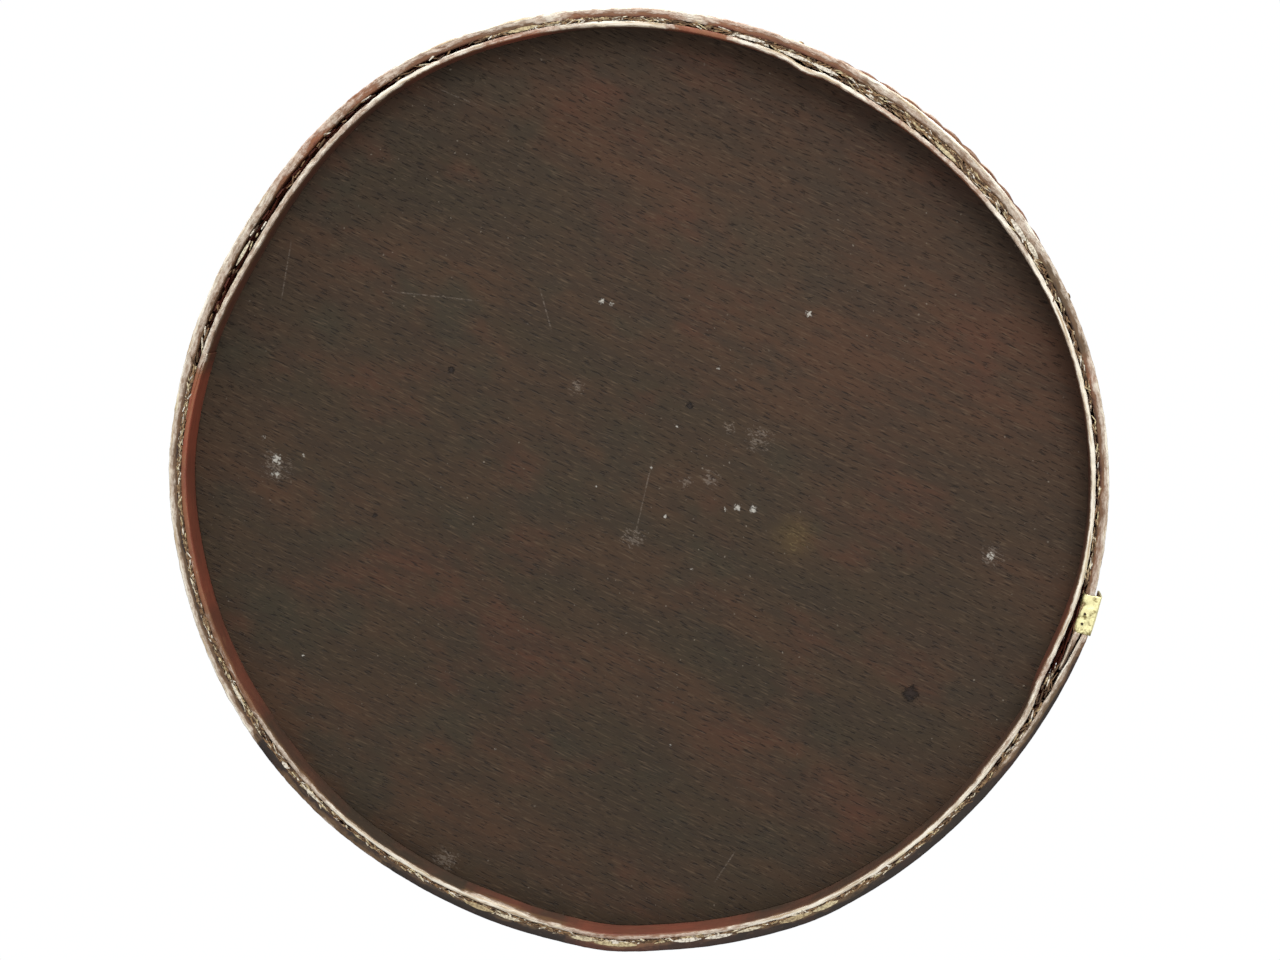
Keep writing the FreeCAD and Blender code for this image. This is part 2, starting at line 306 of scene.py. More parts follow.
# %% A helper that makes shader nodes
class Recipe:
    """One material, built node by node."""

    def __init__(self, name):
        self.material = bpy.data.materials.new(name)
        self.material.use_nodes = True
        self.tree = self.material.node_tree
        self.shader = self.tree.nodes["Principled BSDF"]
        finishes[name] = self.material

    def node(self, kind, inputs=(), **settings):
        made = self.tree.nodes.new("ShaderNode" + kind)
        for key, value in settings.items():
            setattr(made, key, value)
        for key, value in dict(inputs).items():
            self.feed(made.inputs[key], value)
        return made

    def feed(self, socket, value):
        if isinstance(value, bpy.types.NodeSocket):
            self.tree.links.new(value, socket)
        else:
            socket.default_value = value

    def place(self, scale, turn=0.0, attribute=None, shift=(0, 0, 0)):
        """Coordinates: the object's own, or the strip's, stretched by scale along each axis."""
        if attribute:
            source = self.node("Attribute", attribute_name=attribute).outputs["Vector"]
        else:
            source = self.node("TexCoord").outputs["Object"]
        turned = self.node("Mapping", {"Vector": source, "Rotation": (0, 0, turn), "Location": shift})
        return self.node("VectorMath", {0: turned.outputs[0], 1: scale}, operation="MULTIPLY").outputs[0]

    def noise(self, where, detail=4.0, roughness=0.55, distortion=0.0):
        return self.node("TexNoise", {"Vector": where, "Scale": 1.0, "Detail": detail,
                                      "Roughness": roughness, "Distortion": distortion}).outputs["Fac"]

    def ramp(self, value, low, high):
        """0 below low, 1 above high, smooth in between. Low above high turns it over."""
        flip = low > high
        made = self.node("MapRange", {"Value": value, "From Min": min(low, high), "From Max": max(low, high),
                                      "To Min": 1.0 if flip else 0.0, "To Max": 0.0 if flip else 1.0},
                         interpolation_type="SMOOTHSTEP")
        return made.outputs["Result"]

    def math(self, operation, first, second=0.0, clamp=False):
        return self.node("Math", {0: first, 1: second}, operation=operation, use_clamp=clamp).outputs[0]

    def swing(self, pattern, reach):
        """A noise turned to swing either side of nothing."""
        return self.math("MULTIPLY", self.math("SUBTRACT", pattern, 0.5), reach)

    def mix(self, share, first, second):
        made = self.node("Mix", data_type="RGBA")
        self.feed(made.inputs[0], share)
        self.feed(made.inputs[6], first)
        self.feed(made.inputs[7], second)
        return made.outputs[2]

    def tint(self, colour, mask, strength, over):
        """Lays a colour over another where the mask says, at some strength."""
        return self.mix(self.math("MULTIPLY", mask, strength), colour, shade(*over))

    def bump(self, height, depth, before=None):
        inputs = {"Height": height, "Distance": depth, "Strength": 1.0}
        if before:
            inputs["Normal"] = before
        return self.node("Bump", inputs).outputs["Normal"]

    def finish(self, colour, roughness, normal=None):
        self.feed(self.shader.inputs["Base Color"], colour)
        self.feed(self.shader.inputs["Roughness"], roughness)
        if normal:
            self.feed(self.shader.inputs["Normal"], normal)


def shade(red, green, blue):
    """A colour given as seen on a screen, 0 to 255, as the linear values a shader wants."""
    return tuple(((c / 255 + 0.055) / 1.055) ** 2.4 if c > 10 else c / 255 / 12.92
                 for c in (red, green, blue)) + (1.0,)


# %% [markdown]
# ### Dark board
#
# The boards are a hardwood stained dark brown and handled for a century: fine straight grain with
# short dark pores, redder in patches where the stain has rubbed thin and greyer where dust has
# settled, chalky specks, and a few scratches, a stain and a small round dent on the underside. One
# side is also painted lighter and redder, a painted glow of light where the lamp falls. Grain is noise
# stretched along one direction, because wood fibres are long; each spot is a soft round mask, placed
# in millimetres on the board and torn at its edge by finer noise so that it never looks stamped.

# %% Say where the board is marked
GRAIN_TURN = math.radians(-9.7)
LIT_SIDE_TURN = math.radians(55.0)        # turns the side painted lighter and redder, a painted glow of light, to +X
CHALK_SPOTS = ((-138, 28, 2.7), (-137, 34, 1.8), (-128, 24, 1.2), (-145, 21, 1.2), (41, -2, 1.9),
               (47, -3, 2.1), (37, 0, 1.3), (-30, -65, 1.5), (-26, -65, 1.3), (48, -81, 1.8),
               (20, -52, 1.1), (139, -10, 1.9), (10, -26, 1.2), (-14, 5, 0.9), (15, 9, 1.0),
               (8, 30, 0.8), (30, 26, 0.8), (5, -8, 0.9), (6, 7, 0.7), (40, 95, 1.0),
               (-109, 101, 1.2), (-26, 116, 0.9))
RUBBED_SPOTS = ((5, 20, 7.0), (28, -10, 5.5), (42, -30, 8.0), (-34, 165, 8.0), (-31, -31, 5.0),
                (139, -10, 7.0), (-137, 31, 9.0), (19, -6, 4.0), (30, -31, 4.0))
STAIN_SPOT = (65, 3, 7.0)
DARK_SPOTS = ((124, 50, 3.4), (13, -35, 1.6), (-80, -24, 1.7), (-95, 39, 1.3))
SCRATCHES = ((-152, -44, 86, 14), (-103, -126, 8, 9), (-93, -50, -9, 20),
             (73, 136, 108, 9), (-50, -56, 60, 10), (5, 4, 88, 17))
print("specks of chalk:", len(CHALK_SPOTS), "scratches:", len(SCRATCHES))

# %% Stain the wood
def mix_board(name, marked):
    """Stained wood, from the broadest change of colour down to the pores."""
    r = Recipe(name)
    fine = r.noise(r.place((150, 1700, 150), GRAIN_TURN), 3.0, 0.6, 0.3)
    figure = r.noise(r.place((34, 190, 34), GRAIN_TURN), 4.0, 0.6, 0.4)
    bands = r.noise(r.place((6, 24, 6), GRAIN_TURN, shift=(3, 1, 0)), 3.0, 0.55)
    cloud = r.noise(r.place((16, 24, 16), GRAIN_TURN, shift=(1.7, 0.4, 0)), 4.0, 0.6)
    moss = r.noise(r.place((22, 30, 22), GRAIN_TURN, shift=(7.7, 2.4, 0)), 3.0, 0.6)
    pores = r.ramp(r.noise(r.place((210, 1500, 210), GRAIN_TURN, shift=(5, 5, 0)), 2.0, 0.5), 0.58, 0.70)
    colour = r.mix(r.ramp(bands, 0.36, 0.68), shade(55, 45, 32), shade(70, 49, 34))
    colour = r.tint(colour, r.ramp(cloud, 0.50, 0.70), 0.8, (77, 48, 34))
    colour = r.tint(colour, r.ramp(moss, 0.50, 0.68), 0.8, (53, 47, 35))
    # Painted light: the board grows lighter and redder towards one side, standing in for the lamp falling
    # there.
    towards = r.node("SeparateXYZ", {0: r.place((1, 1, 1), LIT_SIDE_TURN)}).outputs[0]
    colour = r.tint(colour, r.ramp(towards, 0.0, 0.2), 0.24, (92, 54, 38))
    colour = r.tint(colour, r.ramp(figure, 0.58, 0.38), 0.5, (49, 38, 28))
    colour = r.tint(colour, r.ramp(fine, 0.52, 0.76), 0.5, (104, 86, 66))
    colour = r.tint(colour, pores, 0.75, (28, 21, 17))
    height = r.math("SUBTRACT", r.math("MULTIPLY", fine, 0.5), pores)
    rough = r.math("MULTIPLY_ADD", figure, 0.2)
    rough.node.inputs[2].default_value = 0.56
    if marked:
        colour, height = mark_board(r, colour, height)
    r.finish(colour, rough, r.bump(height, 0.0002))
    r.shader.inputs["Specular IOR Level"].default_value = 0.25


# %% Shape spots and scratches
def nearness(r, spots):
    """1 at the middle of any of the spots, falling softly to 0; small spots stay weaker."""
    source = r.node("TexCoord").outputs["Object"]
    flat = r.node("VectorMath", {0: source, 1: (1, 1, 0)}, operation="MULTIPLY").outputs[0]
    nearest = 0.0
    for x, y, size in spots:
        away = r.node("VectorMath", {0: flat, 1: (x * MM, y * MM, 0)}, operation="DISTANCE").outputs["Value"]
        near = r.math("MULTIPLY", r.ramp(away, size * MM * 1.7, 0.0), min(1.0, 0.5 + size / 4))
        nearest = r.math("MAXIMUM", near, nearest)
    return nearest


def torn_spots(r, spots, grit, low, high):
    """The spots as ragged specks: nearness and grit together have to pass a level."""
    return r.ramp(r.math("ADD", nearness(r, spots), r.swing(grit, 2.6)), low, high)


def scratch(r, x, y, degrees, length, torn):
    """A fine straight mark through a point, fading at both ends."""
    source = r.node("TexCoord").outputs["Object"]
    moved = r.node("VectorMath", {0: source, 1: (x * MM, y * MM, 0)}, operation="SUBTRACT").outputs[0]
    turned = r.node("VectorRotate", {"Vector": moved, "Angle": math.radians(-degrees)},
                    rotation_type="Z_AXIS").outputs[0]
    split = r.node("SeparateXYZ", {0: turned})
    line = r.ramp(r.math("ABSOLUTE", split.outputs[1]), 0.40 * MM, 0.10 * MM)
    ends = r.ramp(r.math("ABSOLUTE", split.outputs[0]), length * MM, length * MM * 0.5)
    return r.math("MULTIPLY", r.math("MULTIPLY", line, ends), r.ramp(torn, 0.44, 0.58))


# %% Mark the underside
def mark_board(r, colour, height):
    """Chalk, rubbed places, a stain, dark dents and scratches, on the underside only."""
    clean = colour
    level = r.node("SeparateXYZ", {0: r.node("TexCoord").outputs["Object"]}).outputs[2]
    middle = sum(levels("bottom_board")) / 2
    below = r.ramp(level, middle, middle - 1 * MM)
    torn = r.noise(r.place((560, 760, 0), shift=(0.3, 0, 0)), 5.0, 0.85)
    grit = r.noise(r.place((760, 760, 0), shift=(4, 1, 0)), 3.0, 0.7, 0.6)
    wisps = r.noise(r.place((420, 900, 0), GRAIN_TURN, shift=(8, 3, 0)), 3.0, 0.7, 1.2)
    chalk = torn_spots(r, CHALK_SPOTS, grit, 0.60, 1.02)
    rubbed = torn_spots(r, RUBBED_SPOTS, wisps, 0.82, 1.16)
    for x, y, degrees, length in SCRATCHES:
        rubbed = r.math("MAXIMUM", scratch(r, x, y, degrees, length, torn), rubbed)
    dents = torn_spots(r, DARK_SPOTS, torn, 0.45, 0.80)
    stain = nearness(r, (STAIN_SPOT,))
    dust = r.ramp(r.noise(r.place((640, 640, 0), shift=(9, 2, 0)), 1.0, 0.4), 0.74, 0.79)
    dusty = r.ramp(r.noise(r.place((14, 14, 0), shift=(2, 6, 0)), 2.0, 0.5), 0.42, 0.62)
    colour = r.tint(colour, stain, 0.48, (86, 68, 38))
    colour = r.mix(r.math("MULTIPLY", stain, r.ramp(wisps, 0.54, 0.70)), colour, shade(104, 88, 58))
    colour = r.tint(colour, rubbed, 0.44, (132, 120, 108))
    colour = r.tint(colour, r.math("MULTIPLY", dust, dusty), 0.5, (140, 130, 116))
    colour = r.tint(colour, chalk, 0.80, (190, 186, 176))
    colour = r.tint(colour, dents, 0.7, (28, 22, 22))
    height = r.math("SUBTRACT", height, r.math("MULTIPLY", r.math("MULTIPLY", dents, below), 3.0))
    return r.mix(below, clean, colour), height


mix_board("underside_board", True)
mix_board("lid_face_board", False)
print("mixed the boards")

# %% [markdown]
# ### Red-brown lacquer on bent strips
#
# The lacquer lies over a chalky ground, and under that is bare bamboo. Handling wears edges first,
# so each point of a strip carries a number, its wear, and another, its tone, from dark brown to
# red. Noise added to the wear decides where bare fibre, then chalky ground, then rubbed lacquer
# shows. The grain follows the strip's own length, not the object's axes.

# %% Mix the lacquered strips
def mix_lacquer(name, wear, red=(116, 60, 45), dark=(42, 34, 28)):
    r = Recipe(name)
    edge = r.node("Attribute", attribute_name="edge").outputs["Fac"]
    tone = r.node("Attribute", attribute_name="tone").outputs["Fac"]
    streak = r.noise(r.place((60, 900, 1200), attribute="strip"), 4.0, 0.6)
    patches = r.noise(r.place((110, 420, 420), attribute="strip"), 4.0, 0.6, 0.4)
    flecks = r.noise(r.place((300, 760, 760), attribute="strip"), 4.0, 0.7)
    broad = r.noise(r.place((34, 34, 34)), 4.0, 0.6)
    knocked = r.math("ADD", edge, r.swing(patches, 0.62))
    knocked = r.math("ADD", r.math("ADD", knocked, r.swing(flecks, 0.28)), wear)
    bare = r.ramp(knocked, 0.72, 0.90)
    ground = r.ramp(knocked, 0.50, 0.70)
    rubbed = r.ramp(knocked, 0.26, 0.50)
    uneven = r.math("ADD", tone, r.swing(broad, 0.8), clamp=True)
    colour = r.mix(uneven, shade(*dark), shade(*red))
    colour = r.tint(colour, r.ramp(streak, 0.45, 0.7), 0.35, (48, 32, 26))
    colour = r.tint(colour, r.ramp(flecks, 0.56, 0.74), 0.3, (112, 96, 82))
    colour = r.mix(rubbed, colour, r.mix(uneven, shade(98, 78, 56), shade(146, 92, 64)))
    chalk = r.mix(r.ramp(flecks, 0.38, 0.60), shade(150, 124, 106), shade(206, 192, 178))
    tinged = r.mix(uneven, shade(172, 160, 138), shade(186, 138, 116))
    colour = r.mix(ground, colour, r.mix(0.35, chalk, tinged))
    fibre = r.mix(r.ramp(streak, 0.34, 0.56), shade(182, 160, 130), shade(236, 228, 212))
    fibre = r.mix(r.math("MULTIPLY", r.ramp(broad, 0.54, 0.68), 0.5), fibre, shade(214, 198, 152))
    colour = r.mix(bare, colour, fibre)
    rough = r.node("MapRange", {"Value": ground, "To Min": 0.46, "To Max": 0.9}).outputs["Result"]
    height = r.math("SUBTRACT", r.math("MULTIPLY", streak, 0.25), r.math("ADD", ground, bare))
    r.finish(colour, rough, r.bump(height, 0.00022))
    r.shader.inputs["Specular IOR Level"].default_value = 0.3


mix_lacquer("outer_hoop_lacquer", 0.0)
mix_lacquer("inner_hoop_lacquer", 0.0, red=(142, 74, 55), dark=(62, 52, 42))
mix_lacquer("wall_lacquer", -0.08)
print("mixed the lacquers")

# %% [markdown]
# ### Bare fibre, brass and iron
#
# Where the wall ends under the foot its cut bamboo is bare and crumbles, so it only needs streaks,
# and a tint of its own for each crumb, from brown through straw to cream. The brass clip has been
# rubbed bright on its faces and stays duller where dirt sits. The tacks in its fold are iron, nearly
# black, and the small nails are dull brass.

# %% Mix the bare fibre and the metals
def mix_fibre():
    r = Recipe("bare_fibre")
    tint = r.node("Attribute", attribute_name="tint").outputs["Fac"]
    streak = r.noise(r.place((900, 900, 200)), 4.0, 0.65)
    colour = r.mix(r.ramp(tint, 0.0, 0.40), shade(66, 46, 30), shade(142, 110, 76))
    colour = r.mix(r.ramp(tint, 0.40, 0.65), colour, shade(206, 190, 148))
    colour = r.mix(r.ramp(tint, 0.65, 0.95), colour, shade(232, 224, 208))
    colour = r.tint(colour, r.ramp(streak, 0.56, 0.40), 0.6, (84, 62, 42))
    r.finish(colour, 0.85, r.bump(streak, 0.0003))


def mix_metal(name, bright, dull, roughness, metallic, scale):
    r = Recipe(name)
    dirt = r.noise(r.place((scale, scale, scale)), 5.0, 0.65)
    scuff = r.noise(r.place((scale * 2, scale * 9, scale * 9)), 3.0, 0.6)
    colour = r.mix(r.ramp(dirt, 0.48, 0.66), shade(*bright), shade(*dull))
    rough = r.node("MapRange", {"Value": dirt, "To Min": roughness - 0.1, "To Max": roughness + 0.25})
    relief = r.math("ADD", dirt, r.math("MULTIPLY", scuff, 0.3))
    r.finish(colour, rough.outputs["Result"], r.bump(relief, 0.0002))
    r.shader.inputs["Metallic"].default_value = metallic


mix_fibre()
mix_metal("clip_brass", (248, 240, 184), (140, 124, 76), 0.42, 0.7, 320)
mix_metal("nail_brass", (140, 112, 70), (64, 48, 34), 0.5, 0.8, 500)
mix_metal("tack_iron", (58, 48, 38), (98, 70, 44), 0.6, 0.6, 900)
print("finishes", sorted(finishes))

# %% [markdown]
# ## Bending the hoops
#
# A bent hoop is a strip whose two ends are planed thin and laid over each other. Modelled straight,
# the wedge is a thickness that grows along the first stretch and shrinks along the last, the first
# end keeping to the outside and the last to the inside. Wrapped round, the wedges slide over each
# other just as the real ones do. An end can also stand off a little, as the foot's hoops do at
# their joints. Edges get small knocks from noise, and a clip's seat is cut back under the clip.

# %% Chip and wear an edge
LAP = math.radians(9.0)
HOOP_ROUNDING = 0.6 * MM
KNOCK_REACH = 3.5 * MM                # how far from an edge a knock shows
TIP_OUTER, TIP_INNER = 0.35, 0.25     # share of the thickness left at the two tips
SEAT_DEGREES, SEAT_DEPTH, SEAT_REACH = 2.44, 0.75 * MM, 1.5 * MM
CHIP = 0.2 * MM                       # how deep the small chips on a hoop go
HOOP_STEPS, FOOT_STEPS = 900, 1400    # pieces round a hoop; the foot's are looked at more closely
FACE_TONE = 0.6                       # how red a hoop's outer face is, away from the told edge


def knock(vert, edge, depth):
    """Small chips and dents, deeper where the edge has worn."""
    jitter = noise.noise_vector(vert.co * 260.0) + noise.noise_vector(vert.co * 900.0) * 0.6
    vert.co += jitter * depth * (0.25 + edge)


def knocks(angle, which):
    """How worn an edge is in one direction: whole here, rubbed or bare there. which tells edges apart."""
    around = point_at(angle, 1, which)
    return min(0.95, max(0.2, 0.55 + 0.9 * noise.noise(around * 3.1) + 0.4 * noise.noise(around * 14.0)))


def plain_wear(low_worn, high_worn, which):
    """Wear on the edges that get knocked, more in some places than in others."""
    def wear(angle, depth, height, width):
        low = knocks(angle, which) * (1 - height / KNOCK_REACH) if low_worn else 0.0
        high = knocks(angle, which + 0.5) * (1 - (width - height) / KNOCK_REACH) if high_worn else 0.0
        return max(0.1, low, high), 0.85
    return wear


def told_wear(stretches, turn_over):
    """Wear told in stretches. turn_over: how deep into the edge the inner side's wear reaches, 0 to 1."""
    def wear(angle, depth, height, width):
        inner, outer, tone = stretch_at(stretches, angle, 1 + depth * height / (3 * MM))
        worn = inner + (outer - inner) * min(1.0, depth / turn_over)
        tone += (FACE_TONE - tone) * depth * (1 - math.exp(-height / (5 * MM)))
        top = depth * knocks(angle, 7.0) * (1 - (width - height) / KNOCK_REACH)
        return max(0.24 - 0.14 * depth, top, worn * (1 - height / ((9 + 5 * depth) * MM))), tone
    return wear


# %% Bend a strip into a hoop
def bent_hoop(inner_r, thickness, low_z, high_z, joint_degrees, wear, steps=HOOP_STEPS, loose=None,
              stand_off=(0.0, 0.0), seat=0):
    """A hoop from low_z to high_z. stand_off moves the outer tip out and the inner tip in; seat is -1
    or +1 for a clip's seat in the lower or upper edge."""
    middle_r = inner_r + thickness / 2
    around = TURN + LAP
    width = high_z - low_z
    bm = straight_strip(middle_r * around, width, thickness, steps, HOOP_ROUNDING,
                        across=max(3, round(width / (3 * MM))), segments=3)
    cap_ends(bm)
    edge_layer, tone_layer = wear_layers(bm)
    for vert in bm.verts:
        along, depth, height = vert.co.x / middle_r, vert.co.y, vert.co.z
        angle = along - LAP / 2 + math.radians(joint_degrees)
        worn, tone = wear(angle, depth / thickness, height, width)
        vert[edge_layer], vert[tone_layer] = worn, tone
        first, last = along / LAP, (around - along) / LAP
        if first < 1:
            depth = thickness - (thickness - depth) * (TIP_OUTER + (1 - TIP_OUTER) * first)
        elif last < 1:
            depth *= TIP_INNER + (1 - TIP_INNER) * last
        depth += stand_off[0] * math.exp(-(first / 1.3) ** 2) - stand_off[1] * math.exp(-last ** 2)
        radius = inner_r + depth + out_of_round(angle)
        if loose:
            radius -= loose(angle)
        z = low_z + height
        from_edge = height if seat < 0 else width - height
        if seat and abs(apart(angle, 0.0)) < SEAT_DEGREES and from_edge < SEAT_REACH:
            z -= seat * SEAT_DEPTH
        vert.co = point_at(angle, radius, z)
        knock(vert, worn, CHIP)
        vert.co.z = min(cad_high.z, max(cad_low.z, vert.co.z))
    return bm


def finished_hoop(node, suffix, hoop):
    """A hoop takes the lacquer of its side, outer or inner, and stands for its CAD node."""
    finished(hoop, node + suffix, "outer_hoop_lacquer" if "outer" in node else "inner_hoop_lacquer",
             "lid" if node.startswith("lid") else "body", [node])


# %% Bend the body's hoops
foot_low_z = 0.4 * MM
inner_foot_top = levels("foot_inner_hoop")[1]
outer_hoop = body_outer_r, foot_r - body_outer_r
finished_hoop("foot_outer_hoop", "_bent", bent_hoop(
    *outer_hoop, foot_low_z, foot_top_z, 3.0, told_wear(OUTER_WEAR_AND_SHADE, 1.0), FOOT_STEPS,
    stand_off=(2.1 * MM, 0.0), seat=-1))
finished_hoop("foot_inner_hoop", "_sprung", bent_hoop(
    body_outer_r - TIGHT_GAP - INNER_STRIP, INNER_STRIP, foot_low_z, inner_foot_top, 177.7,
    told_wear(INNER_STRETCHES, 0.3), FOOT_STEPS, loose=sprung, stand_off=(0.0, 0.5 * MM)))
finished_hoop("mouth_outer_hoop", "_bent", bent_hoop(
    *outer_hoop, mouth_hoop_z, mouth_z - 0.2 * MM, 0.0, plain_wear(True, True, 1.0)))
finished_hoop("mouth_collar", "_bent", bent_hoop(
    body_inner_r - INNER_STRIP, INNER_STRIP, *levels("mouth_collar"), 180.0,
    plain_wear(False, True, 2.0)))

# %% Bend the lid's hoops
LID_INNER_STRIP = 1.9 * MM
for which, (node, inner, outer, joint, high_worn, seat) in enumerate((
        ("lid_skirt_outer_hoop", lid_outer_r, lid_r, 0.0, True, 0),
        ("lid_top_outer_hoop", lid_outer_r, lid_r, 0.0, True, 1),
        ("lid_skirt_inner_hoop", lid_inner_r - LID_INNER_STRIP, lid_inner_r, 180.0, False, 0),
        ("lid_top_inner_hoop", lid_inner_r - LID_INNER_STRIP, lid_inner_r, 180.0, False, 0)), 3):
    low, high = levels(node)
    finished_hoop(node, "_bent", bent_hoop(inner, outer - inner, low + 0.1 * MM, high - 0.1 * MM, joint,
                                           plain_wear(True, high_worn, which), seat=seat))

# %% [markdown]
# ## Weaving the wall
#
# The wall is plain weave: upright stakes, and one long strip that passes outside one stake and
# inside the next. With an odd number of stakes the strip meets each stake on the other side at its
# next round, so one continuous spiral locks the whole wall. The spiral is a single straight strip,
# rolled up by a formula: the angle runs on and on, the height climbs one row a turn, and a cosine
# carries it in and out. Stakes lean the other way at each row, which is what gives weave its depth.

# %% Lay out the wall's course
STAKES = 109
ROW = 5.2 * MM
STRIP_WIDTH, STRIP_THICKNESS = 4.9 * MM, 0.9 * MM
STRIP_EDGE, STRIP_CROWN = 0.16 * MM, 0.34 * MM     # half its thickness at its edges; more at its middle
STRIP_STEPS = 4                # pieces of strip to a stake
WOBBLE = 0.3 * MM
STAKE_WIDTH, STAKE_THICKNESS = 4.4 * MM, 0.8 * MM
SWING = 0.75 * MM
STAKE_SWING = 0.3 * MM
SQUEEZED = 0.42                # share of its thickness left to the weave between the foot's hoops


def easing(value, low, high):
    """0 below low, 1 above high, eased in between."""
    share = min(1.0, max(0.0, (value - low) / (high - low)))
    return share * share * (3 - 2 * share)


def body_wall(z, angle):
    """Middle radius and share of full thickness: squeezed at the foot's edge, swelling between the hoops."""
    share = (z - foot_top_z) / (mouth_hoop_z - foot_top_z)
    swell = (belly + fuller(angle)) * (1 - (2 * share - 1) ** 2) if 0 < share < 1 else 0.0
    free = easing(z, 6 * MM, 14 * MM)
    tight = body_outer_r - TIGHT_GAP / 2
    return tight + (body_inner_r + wall_gap / 2 + swell - tight) * free, SQUEEZED + (1 - SQUEEZED) * free


def lid_wall(z, angle):
    return lid_inner_r + wall_gap / 2, 1.0


def rubbed_off(wall, wall_r, z, angle):
    """How far the lacquer has rubbed off, in patches, where the wall stands out furthest."""
    if wall is not body_wall:
        return 0.0
    patchy = noise.noise(point_at(angle, 1, z * 6) * 9)
    fullest = (wall_r - body_inner_r - wall_gap / 2) / (belly + FULLER[1])
    return easing(fullest, 0.56, 0.98) * min(1.0, 0.9 + 0.7 * patchy)


# %% Weave the long strip
def woven_strip(wall, low_z, rows):
    """The one long strip of the weave, climbing a row a turn."""
    middle_r = wall(low_z, 0.0)[0]
    width, thickness = STRIP_WIDTH, STRIP_THICKNESS
    steps = round(rows * STAKES * STRIP_STEPS)
    bm = straight_strip(rows * TURN * middle_r, width, thickness, steps, 0.0)
    ridge = [e for e in bm.edges if abs(e.verts[0].co.z - e.verts[1].co.z) > 0.5 * width]
    bmesh.ops.subdivide_edges(bm, edges=ridge, cuts=1)
    bmesh.ops.recalc_face_normals(bm, faces=bm.faces[:])
    cap_ends(bm)
    edge_layer, tone_layer = wear_layers(bm)
    strip = bm.verts.layers.float_vector["strip"]
    for vert in bm.verts:
        angle = vert.co.x / middle_r
        across = vert.co.z / width - 0.5
        side = 1 if vert.co.y > thickness / 2 else -1
        vert[strip] = vert.co
        z = low_z + ROW * angle / TURN + vert.co.z - width / 2
        crown = math.cos(STAKES * angle / 2)
        lens = STRIP_CROWN * (1 - (2 * across) ** 2)
        wobble = noise.noise(Vector((angle * 17.3, z * 90, 3.1))) * WOBBLE
        wall_r, share = wall(z, angle)
        radius = wall_r + share * (SWING * crown + side * (STRIP_EDGE + lens)) + out_of_round(angle)
        rubbed = rubbed_off(wall, wall_r, z, angle)
        vert[edge_layer] = max(0.1, rubbed * (0.68 + 0.14 * crown), 0.65 * crown * (1 - (2 * across) ** 2))
        vert[tone_layer] = 0.8 - 0.6 * rubbed
        vert.co = point_at(angle, radius, z + wobble)
    return bm


# %% Set the stakes
def stakes(wall, low_z, high_z, strip_z):
    """The uprights, each leaning in where the strip, which starts at strip_z, passes outside it."""
    whole = bmesh.new()
    height = high_z - low_z
    half_width, half_thick = STAKE_WIDTH / 2, STAKE_THICKNESS / 2
    template = straight_strip(height, STAKE_WIDTH, STAKE_THICKNESS, round(3 * height / ROW), 0.25 * MM,
                              segments=1)
    cap_ends(template)
    mesh = as_mesh(template, "stake_template")
    edge_layer, tone_layer = wear_layers(whole)
    for index in range(STAKES):
        angle = TURN * index / STAKES
        frayed, = stretch_at(CRUMB_STRETCHES, angle)
        short = (abs(noise.noise(Vector((index * 1.7, 0.4, 0.3)))) + 1 - frayed) * 4 * MM
        for vert in add_copy(whole, mesh):
            cut_end = vert.co.x < 0.1 * MM
            z = low_z + vert.co.x
            lean = -STAKE_SWING * math.cos(math.pi * (index + (z - strip_z) / ROW - index / STAKES))
            wall_r, share = wall(z, angle)
            radius = wall_r + share * (lean + vert.co.y - half_thick) + out_of_round(angle)
            side = vert.co.z - half_width
            if cut_end:
                z += short + noise.noise(Vector((index * 1.7, side * 900, 0.3))) * 0.5 * MM
            vert[edge_layer] = (max(0.3, frayed) if cut_end
                                else max(0.2, 0.6 * rubbed_off(wall, wall_r, z, angle)))
            vert[tone_layer] = 0.8
            vert.co = (radius * math.cos(angle) - side * math.sin(angle),
                       radius * math.sin(angle) + side * math.cos(angle), max(z, low_z))
    bpy.data.meshes.remove(mesh)
    return whole


# %% Weave both walls
lid_low, lid_high = levels("lid_weave")
for body, wall, strip_low, strip_high in (
        ("body", body_wall, levels("body_weave")[0] + 5 * MM, mouth_hoop_z + 3 * MM),
        ("lid", lid_wall, lid_low + ROW / 2, lid_high - ROW / 2)):
    node = body + "_weave"
    finished(woven_strip(wall, strip_low, (strip_high - strip_low) / ROW), body + "_weaving_strip",
             "wall_lacquer", body, [node])
    finished(stakes(wall, *levels(node), strip_low), body + "_stakes", "wall_lacquer",
             body, [node])

# %% [markdown]
# ## Crumbling ends
#
# Between the foot's two hoops the cut ends of the weave have frayed to splinters and fibres. They are
# bits of strip copied from two templates, a short crumb and a longer splinter. Crumbs are scattered
# round the gap, more of them where the stretch says so, each with its own size, lean and tint. The
# few splinters, lying along the gap, are placed one by one.

# %% Cut crumbs and splinters
CRUMBS = 5200
TUCKED = 0.5 * MM               # how far the crumbs reach in behind the outer hoop
